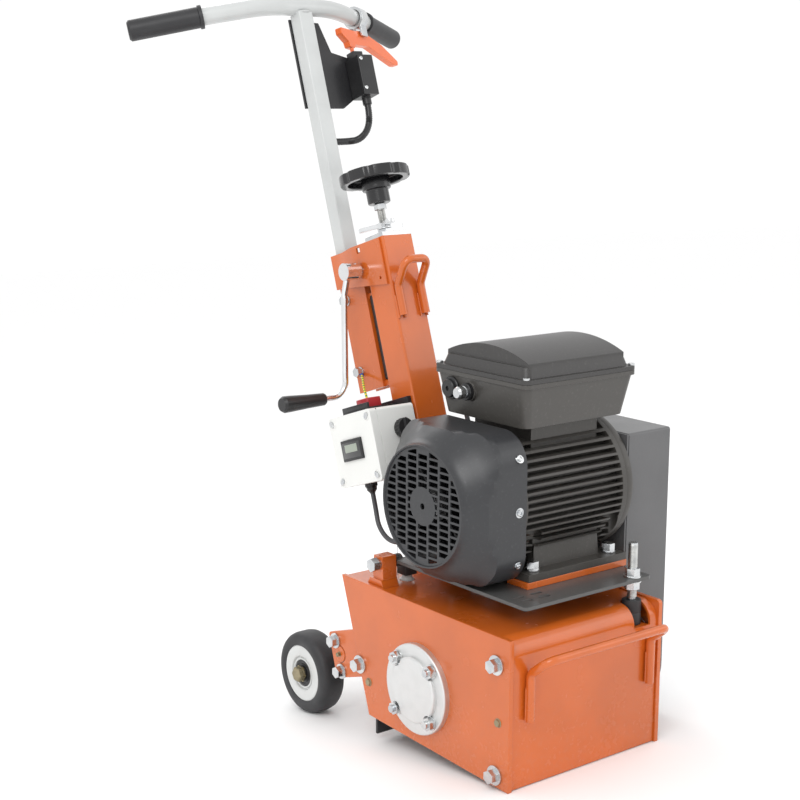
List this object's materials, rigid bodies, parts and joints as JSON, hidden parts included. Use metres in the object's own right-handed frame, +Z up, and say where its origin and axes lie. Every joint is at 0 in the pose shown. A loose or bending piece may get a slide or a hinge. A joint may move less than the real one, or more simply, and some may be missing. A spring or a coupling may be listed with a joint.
{
  "type": "walk-behind floor planer",
  "caption": "Walk-behind electric floor planer: cutter drum in a steel housing, belt drive, lift column, lever-set rear wheels and a T-handle with a presence lever.",
  "frame": {"origin": "middle of the bounding box in plan, at floor level: rear wheels and front bottom edge of the side plates stand on the floor", "axes": "+X to the belt guard side (the operator's right), +Y from the front panel to the operator, +Z up"},
  "size_m": [0.4992, 0.704, 1.0584],
  "materials": {
    "black_plastic": "moulded black plastic",
    "black_rubber": "matt rubber",
    "black_sheet": "satin black paint",
    "cable_grey": "grey cable jacket",
    "cast_flange": "machined casting",
    "cast_pulley": "grey casting",
    "chrome_plate": "chrome plate",
    "copper_core": "varnished winding and laminations",
    "gloss_black": "glossy black plastic",
    "grey_sheet": "satin mid-grey paint",
    "motor_grey": "warm dark grey paint on a casting",
    "orange": "gloss powder coat",
    "orange_plastic": "moulded orange plastic",
    "plate_grey": "satin dark grey paint",
    "steel": "turned steel",
    "tyre_rubber": "solid rubber tyre",
    "white_box": "moulded pale grey plastic",
    "white_hub": "moulded white plastic",
    "zinc": "bright zinc plating"
  },
  "bodies": {
    "chassis": {"bearing_flanges": "cast_flange", "bearings": "steel", "belt_guard": "grey_sheet", "black_brackets": "black_sheet", "cable_glands": "black_plastic", "chamber_rear_wall": "orange", "column_tube": "orange", "control_box": "white_box", "control_box_lid": "white_box", "deck_brackets": "orange", "deck_cover": "orange", "drive_belts": "black_rubber", "dust_spigot": "zinc", "fan_cowl": "black_sheet", "fasteners": "zinc", "grips": "black_rubber", "guard_back_plate": "grey_sheet", "handle_mount": "orange", "handle_post": "zinc", "handlebar": "zinc", "hour_meter": "black_plastic", "lever_clamp": "zinc", "lifting_handles": "orange", "limit_switch": "black_plastic", "motor_cable": "cable_grey", "motor_end_shields": "motor_grey", "motor_frame": "motor_grey", "motor_plate": "plate_grey", "motor_rails": "orange", "rear_brackets": "orange", "rear_skirt": "black_rubber", "rubber_buffers": "black_rubber", "side_plate_left": "orange", "side_plate_right": "orange", "stator": "copper_core", "switch_cable": "cable_grey", "terminal_box": "motor_grey", "terminal_box_lid": "motor_grey"},
    "drum": {"drum": "steel", "cutter_pins": "steel", "cutters": "steel", "drum_pulley": "cast_pulley"},
    "rotor": {"motor_rotor": "steel", "cooling_fan": "black_plastic", "motor_pulley": "cast_pulley"},
    "lever": {"lift_lever": "chrome_plate", "lift_lever_grip": "black_rubber"},
    "lift": {"lift_tube": "zinc", "lift_link": "steel"},
    "crank": {"wheel_crank": "steel"},
    "wheel_left": {"wheel_tyre_left": "tyre_rubber", "wheel_hub_left": "white_hub"},
    "wheel_right": {"wheel_tyre_right": "tyre_rubber", "wheel_hub_right": "white_hub"},
    "spindle": {"depth_spindle": "zinc"},
    "handwheel": {"handwheel": "gloss_black"},
    "locking": {"lock_nut": "zinc"},
    "presence": {"presence_lever": "orange_plastic"},
    "plunger": {"switch_plunger": "orange_plastic"},
    "knob": {"selector_knob": "black_plastic"}
  },
  "joints": [
    {"name": "drum_spin", "type": "hinge", "parent": "chassis", "child": "drum", "pos_m": [0, -0.12869, 0.10206], "axis": [1, 0, 0], "continuous": true},
    {"name": "rotor_spin", "type": "hinge", "parent": "chassis", "child": "rotor", "pos_m": [0, -0.16966, 0.3537], "axis": [1, 0, 0], "continuous": true},
    {"name": "lift_lever_swing", "type": "hinge", "parent": "chassis", "child": "lever", "pos_m": [0, 0.09448, 0.65074], "axis": [1, 0, 0], "range_deg": [0, 100]},
    {"name": "lift_tube_slide", "type": "slide", "parent": "chassis", "child": "lift", "axis": [0, 0.2229, 0.9748], "range_m": [-0.0141, 0]},
    {"name": "wheel_crank_swing", "type": "hinge", "parent": "chassis", "child": "crank", "pos_m": [0, 0.06153, 0.11103], "axis": [1, 0, 0], "range_deg": [0, 22.1]},
    {"name": "wheel_left_roll", "type": "hinge", "parent": "crank", "child": "wheel_left", "pos_m": [-0.1085, 0.16748, 0.061], "axis": [1, 0, 0], "continuous": true},
    {"name": "wheel_right_roll", "type": "hinge", "parent": "crank", "child": "wheel_right", "pos_m": [0.1085, 0.16748, 0.061], "axis": [1, 0, 0], "continuous": true},
    {"name": "depth_spindle_slide", "type": "slide", "parent": "lift", "child": "spindle", "axis": [0, 0.2229, 0.9748], "range_m": [-0.0061, 0.0061]},
    {"name": "handwheel_turn", "type": "hinge", "parent": "spindle", "child": "handwheel", "pos_m": [0, 0.08491, 0.77039], "axis": [0, 0.2229, 0.9748], "range_deg": [-1080, 1080]},
    {"name": "lock_nut_turn", "type": "hinge", "parent": "lift", "child": "locking", "pos_m": [0, 0.07175, 0.71287], "axis": [0, 0.2229, 0.9748], "range_deg": [-180, 180]},
    {"name": "presence_lever_squeeze", "type": "hinge", "parent": "chassis", "child": "presence", "pos_m": [0.122, 0.26949, 1.01233], "axis": [-0.4067, 0.8906, -0.2037], "range_deg": [-12, 0], "stiffness_Nm_per_rad": 0.5, "springref_deg": 17.19},
    {"name": "switch_plunger_push", "type": "slide", "parent": "chassis", "child": "plunger", "axis": [0, 0.2229, 0.9748], "range_m": [-0.0079, 0]},
    {"name": "selector_knob_turn", "type": "hinge", "parent": "chassis", "child": "knob", "pos_m": [-0.062, -0.02281, 0.43393], "axis": [0, -0.9748, 0.2229], "range_deg": [0, 90]}
  ],
  "couplings": [
    {"joint": "rotor_spin", "follows": "drum_spin", "ratio": 1.2889},
    {"joint": "lift_tube_slide", "follows": "lift_lever_swing", "m_per_rad": -0.0080214},
    {"joint": "wheel_crank_swing", "follows": "lift_lever_swing", "ratio": 0.22},
    {"joint": "depth_spindle_slide", "follows": "handwheel_turn", "m_per_rad": 0.00031831},
    {"joint": "switch_plunger_push", "follows": "presence_lever_squeeze", "m_per_rad": 0.0367}
  ]
}
